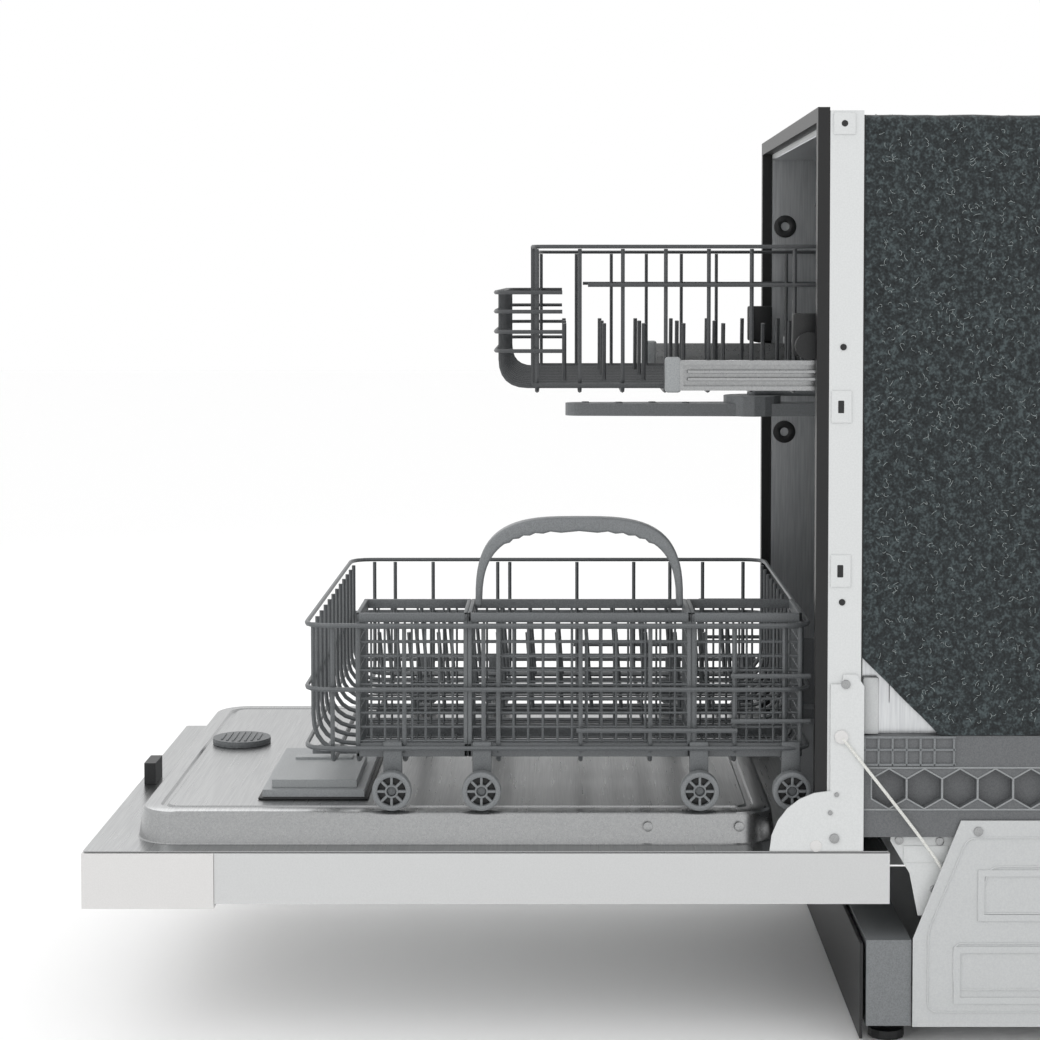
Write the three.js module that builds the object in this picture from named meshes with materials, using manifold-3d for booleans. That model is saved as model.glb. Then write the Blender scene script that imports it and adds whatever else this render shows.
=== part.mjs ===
// Built-in dishwasher with its door open flat and both racks pulled out.
// Millimetres, +Z up. The front faces -Y and the machine's right side is +X.
import * as THREE from "three";
import { mergeVertices } from "three/addons/utils/BufferGeometryUtils.js";
import Module from "manifold-3d";

const wasm = await Module();
wasm.setup();

// Driving dimensions
const gap = 0.3;                 // clearance between touching pieces
const bodyHalfWidth = 294.5;     // outside of the seal, the front flange and the felt
const bodyTop = 872;             // top of the door seal
const bodyBack = 590;            // rear face, measured from the seal's front face
const steel = 1.5;               // sheet thickness
const feltThickness = 13.2;
const backInsulation = 28;       // felt and space behind the tub
const sealDepth = 11;
const sealWidth = 13.5;
const flangeDepth = 31;
const tubFloorTop = 202;         // floor of the tub
const trayTop = 291;             // where the steel tub meets the plastic base tray
const trayFront = 45;
const trayWall = 5;
const panelTop = 212;            // top edge of the side panels
const chassisBottom = 18;
const toeTop = 99;

const pivotY = 2;                // door hinge axis
const pivotZ = 189;
const doorOverhang = 4.5;         // the door is this much wider than the body on each side
const doorRear = 69.4;           // end of the open door behind its hinge axis
const doorTopEdge = -680.6;      // end of the open door away from the hinge
const consoleLength = 122.6;
const consoleProud = 1;          // the console stands proud of the door on each side
const doorFaceZ = 135;           // outer skin of the open door
const doorFlangeZ = 184;         // flange plane of the inner liner
const linerRise = 30;            // raised part of the liner above its flange
const linerSideRoom = 7.5;       // between the raised liner and the tub wall
const linerFront = -640;
const linerRear = -30;

const wheelRadius = 18.5;
const wheelWidth = 12;
const wheelClearance = 0.5;      // between a wheel and what it rolls on
const wire = 2.4;                // wire radius of both racks
const rackSideRoom = 25.1;       // between a rack and the tub wall, for rails and wheels
const lowerRackFront = -478;
const lowerRackRear = 2.4;
const lowerRackTop = 390;
const lowerRackBottom = 256;
const basketFront = -432;
const basketRear = -5;
const basketWidth = 96;
const basketBottom = 262;
const basketTop = 399;
const basketWall = 3;
const handleTop = 485;

const upperRackFront = -262;
const upperRackStep = 35;        // the lower front part stands this far ahead
const upperRackRear = 190;
const upperRackTop = 747;
const upperRackBottom = 609;
const railFront = -134;
const railLength = 480;
const railBottom = 611;
const railHeight = 28;
const railInset = 3;             // between the tub wall and the rail
const railWidth = 11;
const rollerRadius = 13;

const armThickness = 13;
const midArmReach = 196;
const midArmZ = 578;
const lowerArmReach = 225;
const lowerArmZ = 228;
const sumpRadius = 70;
const sumpDepth = 80;

const dispenserLength = 133;
const dispenserDepth = 98;
const ventRadius = 31;

// What follows from them
const tubOuter = bodyHalfWidth - feltThickness - gap;
const tubInner = tubOuter - steel;
const tubFront = sealDepth + flangeDepth + steel;
const feltTop = bodyTop - 5;
const tubRoof = feltTop - feltThickness - gap;
const tubBackFace = bodyBack - backInsulation;
const doorConsoleJoint = doorTopEdge + consoleLength;
const doorHalfWidth = bodyHalfWidth + doorOverhang;
const consoleHalfWidth = doorHalfWidth + consoleProud;
const linerHalfWidth = tubInner - linerSideRoom;
const rackHalfWidth = tubInner - rackSideRoom;
const linerTop = doorFlangeZ + linerRise;
const wheelZ = linerTop + wheelClearance + wheelRadius;
const trackTop = linerTop - wheelClearance;
const centreY = (doorTopEdge + bodyBack) / 2;

// Solids
const solid = (geometry) => {
  geometry.deleteAttribute("normal");
  geometry.deleteAttribute("uv");
  const merged = mergeVertices(geometry, 1e-4);
  return new wasm.Manifold(new wasm.Mesh({
    numProp: 3,
    vertProperties: new Float32Array(merged.attributes.position.array),
    triVerts: new Uint32Array(merged.index.array),
  }));
};

// Corners are set exactly, on a thousandth of a millimetre, so that flush faces stay flush
const block = (x0, x1, y0, y1, z0, z1) => {
  const geometry = new THREE.BoxGeometry(1, 1, 1);
  const corner = geometry.attributes.position;
  const exact = (value) => Math.round(value * 1000) / 1000;
  for (let i = 0; i < corner.count; i++) {
    corner.setXYZ(i, exact(corner.getX(i) < 0 ? x0 : x1), exact(corner.getY(i) < 0 ? y0 : y1),
      exact(corner.getZ(i) < 0 ? z0 : z1));
  }
  return solid(geometry);
};

const outline = (points) => new THREE.Shape(points.map(([a, b]) => new THREE.Vector2(a, b)));

// A side profile in Y and Z, running from x0 to x1
const sideProfile = (points, x0, x1) => {
  const geometry = new THREE.ExtrudeGeometry(outline(points), { depth: x1 - x0, bevelEnabled: false });
  const turn = new THREE.Matrix4().makeBasis(
    new THREE.Vector3(0, 1, 0), new THREE.Vector3(0, 0, 1), new THREE.Vector3(1, 0, 0));
  geometry.applyMatrix4(turn);
  geometry.translate(x0, 0, 0);
  return solid(geometry);
};

// A plan outline in X and Y, running from z0 to z1
const planProfile = (shape, z0, z1) => {
  const geometry = new THREE.ExtrudeGeometry(shape, { depth: z1 - z0, bevelEnabled: false, curveSegments: 5 });
  geometry.translate(0, 0, z0);
  return solid(geometry);
};

const rod = (a, b, radius, sides = 6) => {
  const from = new THREE.Vector3(...a);
  const along = new THREE.Vector3(...b).sub(from);
  const geometry = new THREE.CylinderGeometry(radius, radius, along.length(), sides);
  geometry.applyQuaternion(new THREE.Quaternion().setFromUnitVectors(
    new THREE.Vector3(0, 1, 0), along.clone().normalize()));
  geometry.translate(...from.addScaledVector(along, 0.5).toArray());
  return solid(geometry);
};

// A straight rack wire along one axis, with a square section. Cross wires and uprights are a
// little thinner than the lengthwise ones, so that no two of their faces are flush.
const straightWire = (a, b) => {
  const thinner = a[1] !== b[1] ? 0 : a[0] !== b[0] ? 0.25 : 0.5;
  const radius = wire - thinner;
  const low = a.map((value, i) => Math.min(value, b[i]) - radius);
  const high = a.map((value, i) => Math.max(value, b[i]) + radius);
  return block(low[0], high[0], low[1], high[1], low[2], high[2]);
};

// Evenly spaced values from one end to the other
const between = (from, to, count) =>
  Array.from({ length: count + 1 }, (_, i) => from + (to - from) * i / count);

const join = (pieces) => pieces.reduce((whole, piece) => whole.add(piece));

// A frame open at the bottom: two legs and a top, running from y0 to y1
const arch = (outer, inner, top, innerTop, bottom, y0, y1) =>
  block(-outer, outer, y0, y1, bottom, top).subtract(block(-inner, inner, y0 - 1, y1 + 1, bottom - 1, innerTop));

const object = new THREE.Group();
object.position.y = -centreY;

const add = (name, shape, colour, roughness = 0.6, metalness = 0) => {
  const mesh = shape.getMesh();
  const geometry = new THREE.BufferGeometry();
  geometry.setAttribute("position", new THREE.BufferAttribute(mesh.vertProperties, 3));
  geometry.setIndex(new THREE.BufferAttribute(mesh.triVerts, 1));
  geometry.computeVertexNormals();
  const part = new THREE.Mesh(geometry, new THREE.MeshStandardMaterial({ color: colour, roughness, metalness }));
  part.name = name;
  object.add(part);
};

const sides = [["right", 1], ["left", -1]];

// Steel tub, seal, flange and felt
const flangeBottom = pivotZ + 8;
add("door_seal", arch(bodyHalfWidth, bodyHalfWidth - sealWidth, bodyTop, bodyTop - sealWidth,
  flangeBottom, 0, sealDepth), 0x17181a, 0.7);
add("front_flange", arch(bodyHalfWidth, tubOuter + gap, bodyTop - 3, tubRoof + gap,
  flangeBottom, sealDepth + gap, sealDepth + gap + flangeDepth), 0xe2e3e3, 0.35, 0.4);
add("tub_wrapper", arch(tubOuter, tubInner, tubRoof, tubRoof - steel, trayTop + gap,
  sealDepth + gap, tubBackFace - gap), 0xb9bcbe, 0.25, 1);
add("tub_back", block(-tubOuter, tubOuter, tubBackFace, tubBackFace + steel, trayTop + gap, tubRoof),
  0xb2b5b7, 0.25, 1);

const feltFront = tubFront;
const feltRear = tubBackFace + steel + gap;
const feltChamfer = 71;
const feltShell = arch(bodyHalfWidth, tubOuter + gap, feltTop, tubRoof + gap, trayTop + gap, feltFront, bodyBack);
const feltBack = block(-bodyHalfWidth, bodyHalfWidth, feltRear, bodyBack, trayTop + gap, feltTop);
const feltCorner = sideProfile([[feltFront - 1, trayTop - 1], [feltFront + feltChamfer, trayTop - 1],
  [feltFront - 1, trayTop + feltChamfer]], -bodyHalfWidth - 1, bodyHalfWidth + 1);
add("insulation", feltShell.add(feltBack).subtract(feltCorner), 0x33393b, 1);

// Plastic base tray: floor with a sump hole, walls, wheel tracks and hexagon pockets in its sides
const trayOuter = bodyHalfWidth - 2.5;
const trayBack = bodyBack - 5;
const floorBottom = tubFloorTop - 6;
const sumpY = 300;
const hexPitch = 33;
const hexRadius = 18;
const hexCentreZ = 241.5;
const hexDepth = 10;
const trackInset = 32;
const trayCavity = block(-tubInner, tubInner, sealDepth + gap - 5, tubBackFace, tubFloorTop, trayTop + 5);
const trackHalf = tubInner - trackInset;
let tray = block(-trayOuter, trayOuter, sealDepth + gap, trayBack, floorBottom, trayTop).subtract(trayCavity);
for (const [, side] of sides) {
  tray = tray.subtract(block(Math.min(side * tubInner, side * (trayOuter + 1)),
    Math.max(side * tubInner, side * (trayOuter + 1)), sealDepth, trayFront, floorBottom - 1, trayTop + 1));
  tray = tray.add(block(Math.min(side * trackHalf, side * (tubInner + 1)),
    Math.max(side * trackHalf, side * (tubInner + 1)), trayFront - 25, tubBackFace + 1, floorBottom, trackTop));
  const pocketCount = Math.floor((trayBack - trayFront - 20) / hexPitch);
  for (let i = 0; i < pocketCount; i++) {
    const y = trayFront + 24 + i * hexPitch;
    const hexagon = between(0, 5, 5).map((corner) => [y + hexRadius * Math.sin(corner * Math.PI / 3),
      hexCentreZ + hexRadius * Math.cos(corner * Math.PI / 3)]).reverse();
    const [x0, x1] = side > 0 ? [trayOuter - hexDepth, trayOuter + 1] : [-trayOuter - 1, hexDepth - trayOuter];
    tray = tray.subtract(sideProfile(hexagon, x0, x1));
  }
}
tray = tray.subtract(rod([0, sumpY, floorBottom - 1], [0, sumpY, tubFloorTop + 1], sumpRadius + gap, 24));
add("base_tray", tray, 0x55585b, 0.7);

const sumpTop = tubFloorTop - 1;
const sumpCup = rod([0, sumpY, floorBottom - sumpDepth], [0, sumpY, sumpTop], sumpRadius, 24)
  .subtract(rod([0, sumpY, floorBottom - sumpDepth + 4], [0, sumpY, sumpTop + 1], sumpRadius - 4, 24));
const armPost = rod([0, sumpY, floorBottom - sumpDepth + 3], [0, sumpY, lowerArmZ - armThickness / 2 - 1], 14, 12);
add("sump", sumpCup.add(armPost), 0x3b3e41, 0.6);
const filterRing = rod([0, sumpY, sumpTop - 62], [0, sumpY, sumpTop + 3], sumpRadius - 6, 20)
  .subtract(rod([0, sumpY, sumpTop - 63], [0, sumpY, sumpTop + 4], 30, 16));
add("filter", filterRing, 0x8b9094, 0.5, 0.3);
const heaterRing = new THREE.TorusGeometry(150, 4, 6, 24);
heaterRing.translate(0, sumpY, tubFloorTop + 6);
add("heater", solid(heaterRing), 0x9a9c9e, 0.3, 1);

// Spray arms: a tapered blade with a round hub
const sprayArm = (reach, y, z) => {
  const half = armThickness / 2;
  const blade = new THREE.Shape();
  blade.moveTo(-14, y - reach + 14);
  blade.absarc(0, y - reach + 14, 14, Math.PI, Math.PI * 2);
  blade.lineTo(24, y);
  blade.lineTo(14, y + reach - 14);
  blade.absarc(0, y + reach - 14, 14, 0, Math.PI);
  blade.lineTo(-24, y);
  return planProfile(blade, z - half, z + half).add(rod([0, y, z - half], [0, y, z + half + 8], 30, 16));
};
add("lower_spray_arm", sprayArm(lowerArmReach, sumpY, lowerArmZ), 0x6d7073, 0.55);
const midArmY = -35;
add("mid_spray_arm", sprayArm(midArmReach, midArmY, midArmZ), 0x6d7073, 0.55);

// Machine compartment
const washPumpY = 420;
const washPumpRadius = 45;
add("wash_pump", rod([-80, washPumpY, 110], [90, washPumpY, 110], washPumpRadius, 20), 0x2e3033, 0.6);
add("drain_pump", rod([120, sumpY, 100], [190, sumpY, 100], 30, 16), 0xc7c9ca, 0.6);
add("inlet_valve", block(-230, -170, 200, 260, 60, 120), 0xdddddd, 0.6);
add("bottom_pan", block(-trayOuter + 12, trayOuter - 12, 110, trayBack, chassisBottom, chassisBottom + steel),
  0x9a9da0, 0.4, 0.6);

const panelOuter = bodyHalfWidth + 0.5;
const panelInner = panelOuter - steel;
const pocketRing = (y0, y1, z0, z1, x0, x1) =>
  block(x0, x1, y0, y1, z0, z1).subtract(block(x0 - 1, x1 + 1, y0 + 6, y1 - 6, z0 + 6, z1 - 6));
for (const [name, side] of sides) {
  const span = (a, b) => (side > 0 ? [a, b] : [-b, -a]);
  const [x0, x1] = span(panelInner, panelOuter);
  let panel = sideProfile([[92, 101], [136, panelTop], [trayBack, panelTop], [trayBack, chassisBottom],
    [92, chassisBottom]], x0, x1);
  const [r0, r1] = span(panelOuter - 0.5, panelOuter + 1.2);
  panel = panel.add(pocketRing(152, 360, 118, 166, r0, r1)).add(pocketRing(130, 360, 40, 94, r0, r1));
  add(`side_panel_${name}`, panel, 0xcfd1d2, 0.4, 0.5);

  const [b0, b1] = span(trayOuter - 10, trayOuter - 8);
  const bracket = sideProfile([[72, pivotZ + 6.4], [131, pivotZ + 6.4], [131, 150], [113, 120], [98, 120],
    [90, 160], [72, pivotZ + 1]], b0, b1);
  add(`hinge_bracket_${name}`, bracket, 0xc6c9ca, 0.4, 0.6);
}

add("toe_frame", block(-trayOuter, trayOuter, 49, 91, chassisBottom, toeTop)
  .subtract(block(-trayOuter + 4, trayOuter - 4, 53, 92, chassisBottom - 1, toeTop - 4)), 0x808285, 0.6);
add("toe_kick", block(-trayOuter, trayOuter, 43, 46, 6, toeTop - 3), 0x141516, 0.6);

let footNumber = 1;
for (const y of [72, bodyBack - 45]) {
  for (const [, side] of sides) {
    const x = side * (trayOuter - 30);
    const pad = rod([x, y, 0], [x, y, 8], 17, 12);
    const stem = rod([x, y, 7], [x, y, chassisBottom - gap], 6, 10);
    add(`foot_${footNumber}`, pad.add(stem), 0x2a2b2d, 0.5);
    footNumber += 1;
  }
}

// Door: outer pan, console, inner liner and what they carry
const linerSheet = 1.5;
const panTop = doorFlangeZ - linerSheet - gap;
const pan = block(-doorHalfWidth, doorHalfWidth, doorConsoleJoint + gap, doorRear, doorFaceZ, panTop)
  .subtract(block(-doorHalfWidth + 2, doorHalfWidth - 2, doorConsoleJoint - 1, doorRear - 2,
    doorFaceZ + 2, panTop + 1));
add("door_outer_panel", pan, 0xd6d7d7, 0.4, 0.2);

const consoleFaceZ = doorFaceZ - 4.4;
const pocketHalf = 130;
const pocketRear = doorConsoleJoint - 16;
const pocketFront = doorTopEdge + 40;
const pocketDepth = 30;
const buttonSize = 16;
const buttonPlaces = [-215, -185, 185];
const buttonY = doorTopEdge + 30;
let consoleShell = block(-consoleHalfWidth, consoleHalfWidth, doorTopEdge, doorConsoleJoint,
  consoleFaceZ, panTop);
const pocket = block(-pocketHalf, pocketHalf, pocketFront, pocketRear, consoleFaceZ - 1,
  consoleFaceZ + pocketDepth);
const pocketBox = block(-pocketHalf - 3, pocketHalf + 3, pocketFront - 3, pocketRear + 3, consoleFaceZ,
  consoleFaceZ + pocketDepth + 3);
consoleShell = consoleShell
  .subtract(block(-consoleHalfWidth + 3, consoleHalfWidth - 3, doorTopEdge + 3, doorConsoleJoint - 3,
    consoleFaceZ + 3, panTop + 1))
  .add(pocketBox).subtract(pocket);
buttonPlaces.forEach((x, i) => {
  const half = buttonSize / 2;
  consoleShell = consoleShell.subtract(block(x - half - gap, x + half + gap, buttonY - half - gap,
    buttonY + half + gap, consoleFaceZ - 1, consoleFaceZ + 4));
  add(`button_${i + 1}`, block(x - half, x + half, buttonY - half, buttonY + half,
    consoleFaceZ - 1, consoleFaceZ + 8), 0xbfc1c2, 0.4);
});
add("console", consoleShell, 0xe0dfde, 0.45);

const cornerCut = 26;
const raisedShape = (inset) => outline([
  [-linerHalfWidth + cornerCut, linerFront + inset], [linerHalfWidth - cornerCut, linerFront + inset],
  [linerHalfWidth - inset, linerFront + cornerCut], [linerHalfWidth - inset, linerRear - inset],
  [-linerHalfWidth + inset, linerRear - inset], [-linerHalfWidth + inset, linerFront + cornerCut]]);
const linerFlange = block(-doorHalfWidth + 2, doorHalfWidth - 2, doorTopEdge + 1, doorRear - 1,
  doorFlangeZ - linerSheet, doorFlangeZ);
const liner = linerFlange.add(planProfile(raisedShape(0), doorFlangeZ - linerSheet, linerTop))
  .subtract(planProfile(raisedShape(linerSheet), doorFlangeZ - linerSheet - 1, linerTop - linerSheet));
add("door_liner", liner, 0xb4b6b7, 0.25, 1);

const onLiner = linerTop + gap;
const dispenserX = 83;
const dispenserY = -523;
const rimX = 62;
add("dispenser", block(dispenserX - rimX, dispenserX + dispenserLength, dispenserY,
  dispenserY + dispenserDepth, onLiner, onLiner + 9), 0x8d9092, 0.5);
add("detergent_lid", block(dispenserX + 6, dispenserX + dispenserLength - 8, dispenserY + 8,
  dispenserY + dispenserDepth - 8, onLiner + 9 + gap, onLiner + 17), 0xa3a5a7, 0.45);
const capX = dispenserX - rimX / 2 - 4;
const capY = dispenserY + dispenserDepth / 2;
const capBase = onLiner + 9 + gap;
add("rinse_aid_cap", rod([capX, capY, capBase], [capX, capY, capBase + 6], 19, 16)
  .add(block(capX - 14, capX + 14, capY - 2.5, capY + 2.5, capBase + 5, capBase + 10)), 0x4b4e50, 0.5);
add("vent_cap", rod([-52, -580, onLiner], [-52, -580, onLiner + 6], ventRadius, 20), 0x55585a, 0.5);
add("door_latch", block(-20, 20, doorTopEdge + 8, doorTopEdge + 20, doorFlangeZ + gap, doorFlangeZ + 23),
  0x2c2d2f, 0.5);

// Hinge plates, balance cables, pulleys and springs
const plateInner = bodyHalfWidth + 0.5;
const plateOuter = plateInner + 2;
const cableRadius = 1.2;
const cableX = plateOuter + cableRadius + gap;
const quarterRound = [];
for (let step = 0; step <= 6; step++) {
  const angle = Math.PI / 2 * (1 + step / 6);
  quarterRound.push([14 + 56 * Math.cos(angle), doorFlangeZ + gap + 56 * Math.sin(angle)]);
}
const platePoints = [[45, doorFlangeZ + gap], [45, 338], [38, 349], [26, 349], [24, 340], [14, 340],
  ...quarterRound];
const tubeAlong = (points, radius, steps, segments) => {
  const path = new THREE.CatmullRomCurve3(points.map((p) => new THREE.Vector3(...p)), false, "catmullrom", 0.1);
  const ring = [];
  for (let i = 0; i < segments; i++) {
    const angle = 2 * Math.PI * i / segments;
    ring.push([radius * Math.cos(angle), radius * Math.sin(angle)]);
  }
  return solid(new THREE.ExtrudeGeometry(outline(ring), { steps, bevelEnabled: false, extrudePath: path }));
};
const pulleyY = 136;
const pulleyZ = 140;
const pulleyRadius = 12;
for (const [name, side] of sides) {
  const span = (a, b) => (side > 0 ? [a, b] : [-b, -a]);
  const [p0, p1] = span(plateInner, plateOuter);
  add(`hinge_plate_${name}`, sideProfile(platePoints, p0, p1), 0xd0d2d3, 0.4, 0.6);
  add(`balance_cable_${name}`, tubeAlong([[side * cableX, 25, 290], [side * cableX, 74, 228],
    [side * (plateInner + 0.3), 100, 194], [side * (trayOuter - 3), 118, 172],
    [side * (trayOuter - 4), 122, 162]], cableRadius, 14, 8), 0xe9e9e6, 0.8);
  const wheel = rod([side * (trayOuter - 6.5), pulleyY, pulleyZ],
    [side * (trayOuter - 1), pulleyY, pulleyZ], pulleyRadius, 16);
  add(`pulley_${name}`, wheel.subtract(rod([side * (trayOuter - 12), pulleyY, pulleyZ],
    [side * (trayOuter + 7), pulleyY, pulleyZ], 3, 10)),
    0xe4e4e2, 0.5);
  const springX = side * (trayOuter - 20);
  const spring = rod([springX, 150, 138], [springX, 330, 60], 8, 10)
    .subtract(rod([springX, 146, 139.7], [springX, 334, 58.3], 5, 10));
  add(`balance_spring_${name}`, spring, 0x8c8e90, 0.35, 1);
}

// Lower rack: wire basket on eight wheels, with a cutlery basket along its right side
const wireBox = (front, rear, bottom, levels, stations, lanes, half) => {
  const wires = [];
  for (const z of levels) {
    for (const side of [-1, 1]) {
      wires.push(straightWire([side * half, front, z], [side * half, rear, z]));
    }
    wires.push(straightWire([-half, front, z], [half, front, z]));
    wires.push(straightWire([-half, rear, z], [half, rear, z]));
  }
  for (const y of between(front, rear, stations)) {
    for (const side of [-1, 1]) {
      wires.push(straightWire([side * half, y, bottom], [side * half, y, levels[0]]));
    }
    wires.push(straightWire([-half, y, bottom], [half, y, bottom]));
  }
  for (const x of between(-half, half, lanes)) {
    wires.push(straightWire([x, front, bottom], [x, rear, bottom]));
  }
  for (const x of between(-half, half, lanes).slice(1, -1)) {
    wires.push(straightWire([x, front, bottom], [x, front, levels[0]]));
    wires.push(straightWire([x, rear, bottom], [x, rear, levels[0]]));
  }
  return join(wires);
};
const lowerHalf = rackHalfWidth - wire;
add("lower_rack", wireBox(lowerRackFront, lowerRackRear - wire, lowerRackBottom,
  [lowerRackTop - wire, 327], 6, 4, lowerHalf), 0x7b7e80, 0.5);
const wheelStations = [-395, -310.5, -105, -18];
wheelStations.forEach((y, i) => {
  for (const [name, side] of sides) {
    const inner = side * (rackHalfWidth + 2);
    const outer = side * (rackHalfWidth + 2 + wheelWidth);
    const disc = rod([inner, y, wheelZ], [outer, y, wheelZ], wheelRadius, 16)
      .subtract(rod([outer - side * 3, y, wheelZ], [outer + side, y, wheelZ], wheelRadius - 5, 12));
    add(`rack_wheel_${i + 1}_${name}`, disc, 0x8e9193, 0.6);
  }
});

const basketOuterX = rackHalfWidth - 2 * wire - 2;
const basketInnerX = basketOuterX - basketWidth;
const sectionEnds = [basketFront, -324, -112, basketRear];
let basket = block(basketInnerX, basketOuterX, basketFront, basketRear, basketBottom, basketTop);
for (let i = 0; i < 3; i++) {
  basket = basket.subtract(block(basketInnerX + basketWall, basketOuterX - basketWall,
    sectionEnds[i] + basketWall, sectionEnds[i + 1] - basketWall, basketBottom + basketWall, basketTop + 1));
}
add("cutlery_basket", basket, 0x66696b, 0.6);

const handleFront = -318;
const handleRear = -118;
const handleSpan = handleRear - handleFront;
const handleThickness = 12;
const handleArc = (radius, y) => {
  const points = [];
  for (let step = 0; step <= 8; step++) {
    const angle = Math.PI - Math.PI * step / 8;
    points.push([y + radius[0] * Math.cos(angle), basketTop + gap + radius[1] * Math.sin(angle)]);
  }
  return points;
};
const handleMiddle = (handleFront + handleRear) / 2;
const handleRise = handleTop - basketTop;
const outerArc = handleArc([handleSpan / 2, handleRise], handleMiddle);
const innerArc = handleArc([handleSpan / 2 - handleThickness, handleRise - handleThickness], handleMiddle);
const handleX = (basketInnerX + basketOuterX) / 2;
add("basket_handle", sideProfile([...outerArc, ...innerArc.reverse()], handleX - 11, handleX + 11),
  0x6b6e70, 0.55);

// Upper rack on its rails
const upperHalf = rackHalfWidth - wire - 2;
const upperBox = wireBox(upperRackFront, upperRackRear, upperRackBottom, [upperRackTop - wire, 649],
  5, 4, upperHalf);
const stepWires = [];
const stepFront = upperRackFront - upperRackStep;
for (const z of [649, 704]) {
  stepWires.push(straightWire([-upperHalf, stepFront, z], [upperHalf, stepFront, z]));
  for (const side of [-1, 1]) {
    stepWires.push(straightWire([side * upperHalf, stepFront, z], [side * upperHalf, upperRackFront + 40, z]));
  }
}
for (const x of between(-upperHalf, upperHalf, 4)) {
  stepWires.push(straightWire([x, stepFront, upperRackBottom], [x, stepFront, 704]));
  stepWires.push(straightWire([x, stepFront, upperRackBottom], [x, upperRackFront, upperRackBottom]));
}
stepWires.push(straightWire([-upperHalf, stepFront, upperRackBottom], [upperHalf, stepFront, upperRackBottom]));
add("upper_rack", upperBox.add(join(stepWires)), 0x4a4c4e, 0.5);

const railOuter = tubInner - railInset;
const railTop = railBottom + railHeight;
const rollerZ = railTop + 0.5 + rollerRadius;
for (const [name, side] of sides) {
  const span = (a, b) => (side > 0 ? [a, b] : [-b, -a]);
  const [x0, x1] = span(railOuter - railWidth, railOuter);
  const [c0, c1] = span(railOuter - railWidth + 2.5, railOuter + 1);
  const channel = block(x0, x1, railFront, railFront + railLength, railBottom, railTop)
    .subtract(block(c0, c1, railFront + 12, railFront + railLength + 1, railBottom + 4, railTop - 4));
  add(`upper_rail_${name}`, channel, 0xc9cbcc, 0.25, 1);
  add(`rack_roller_${name}`, rod([x0, -5, rollerZ], [x1, -5, rollerZ], rollerRadius, 16), 0x2b2c2e, 0.5);
}

export default object;
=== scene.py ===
import math
import random
import bmesh
import bpy
from mathutils import Matrix, Vector


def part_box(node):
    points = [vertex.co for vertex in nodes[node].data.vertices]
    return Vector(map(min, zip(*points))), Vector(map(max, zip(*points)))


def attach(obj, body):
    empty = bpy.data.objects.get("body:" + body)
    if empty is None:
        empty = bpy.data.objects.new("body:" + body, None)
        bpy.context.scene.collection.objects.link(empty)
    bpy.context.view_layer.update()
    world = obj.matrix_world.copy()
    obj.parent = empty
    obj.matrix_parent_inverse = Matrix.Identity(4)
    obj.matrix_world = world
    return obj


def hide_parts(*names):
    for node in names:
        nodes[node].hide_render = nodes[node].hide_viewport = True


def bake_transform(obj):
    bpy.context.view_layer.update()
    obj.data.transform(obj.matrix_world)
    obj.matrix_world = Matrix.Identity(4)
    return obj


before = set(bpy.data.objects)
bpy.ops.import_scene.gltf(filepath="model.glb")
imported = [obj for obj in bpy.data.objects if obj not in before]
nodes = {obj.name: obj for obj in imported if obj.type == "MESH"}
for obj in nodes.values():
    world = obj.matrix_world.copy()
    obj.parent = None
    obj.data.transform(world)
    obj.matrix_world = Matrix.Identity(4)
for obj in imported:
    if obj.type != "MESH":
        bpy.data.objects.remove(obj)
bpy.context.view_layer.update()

mm = 0.001
random.seed(7)
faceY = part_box("door_seal")[0].y     # front face of the door seal
sides = {"right": 1, "left": -1}


# ---- small helpers
def deselect():
    bpy.ops.object.select_all(action="DESELECT")


def only(piece):
    deselect()
    piece.select_set(True)
    bpy.context.view_layer.objects.active = piece


def settle(piece):
    only(piece)
    bpy.ops.object.transform_apply(location=True, rotation=True, scale=True)


def modify(piece, kind, **settings):
    only(piece)
    bpy.ops.object.modifier_add(type=kind)
    modifier = piece.modifiers[-1]
    for key, value in settings.items():
        setattr(modifier, key, value)
    bpy.ops.object.modifier_apply(modifier=modifier.name)


def finishPiece(piece, name, body, material, smooth=35):
    piece.name = name
    piece.data.name = name
    piece.data.materials.clear()
    piece.data.materials.append(material)
    only(piece)
    if smooth:
        bpy.ops.object.shade_smooth_by_angle(angle=math.radians(smooth))
    if body:
        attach(piece, body)
    return piece


def block(name, low, high, body, material, bevel=0.8, segments=2):
    centre = [(a + b) / 2 for a, b in zip(low, high)]
    deselect()
    bpy.ops.mesh.primitive_cube_add(size=1, location=centre)
    piece = bpy.context.object
    piece.scale = [b - a for a, b in zip(low, high)]
    settle(piece)
    modify(piece, "BEVEL", width=bevel * mm, segments=segments, limit_method="ANGLE")
    return finishPiece(piece, name, body, material)


def disc(name, centre, radius, depth, axis, body, material, bevel=0.5, sides=32, inner=0.0):
    turn = {"X": (0, math.radians(90), 0), "Y": (math.radians(90), 0, 0), "Z": (0, 0, 0)}[axis]
    deselect()
    bpy.ops.mesh.primitive_cylinder_add(vertices=sides, radius=radius, depth=depth, location=centre,
                                        rotation=turn)
    piece = bpy.context.object
    settle(piece)
    if inner:
        bpy.ops.mesh.primitive_cylinder_add(vertices=sides, radius=inner, depth=depth * 3, location=centre,
                                            rotation=turn)
        cutter = bpy.context.object
        settle(cutter)
        modify(piece, "BOOLEAN", operation="DIFFERENCE", object=cutter, solver="EXACT")
        bpy.data.objects.remove(cutter)
    modify(piece, "BEVEL", width=bevel * mm, segments=2, limit_method="ANGLE")
    return finishPiece(piece, name, body, material)


def joined(pieces, name, body, material, smooth=35):
    deselect()
    for piece in pieces:
        piece.select_set(True)
    bpy.context.view_layer.objects.active = pieces[0]
    bpy.ops.object.join()
    return finishPiece(bpy.context.object, name, body, material, smooth)


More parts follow.
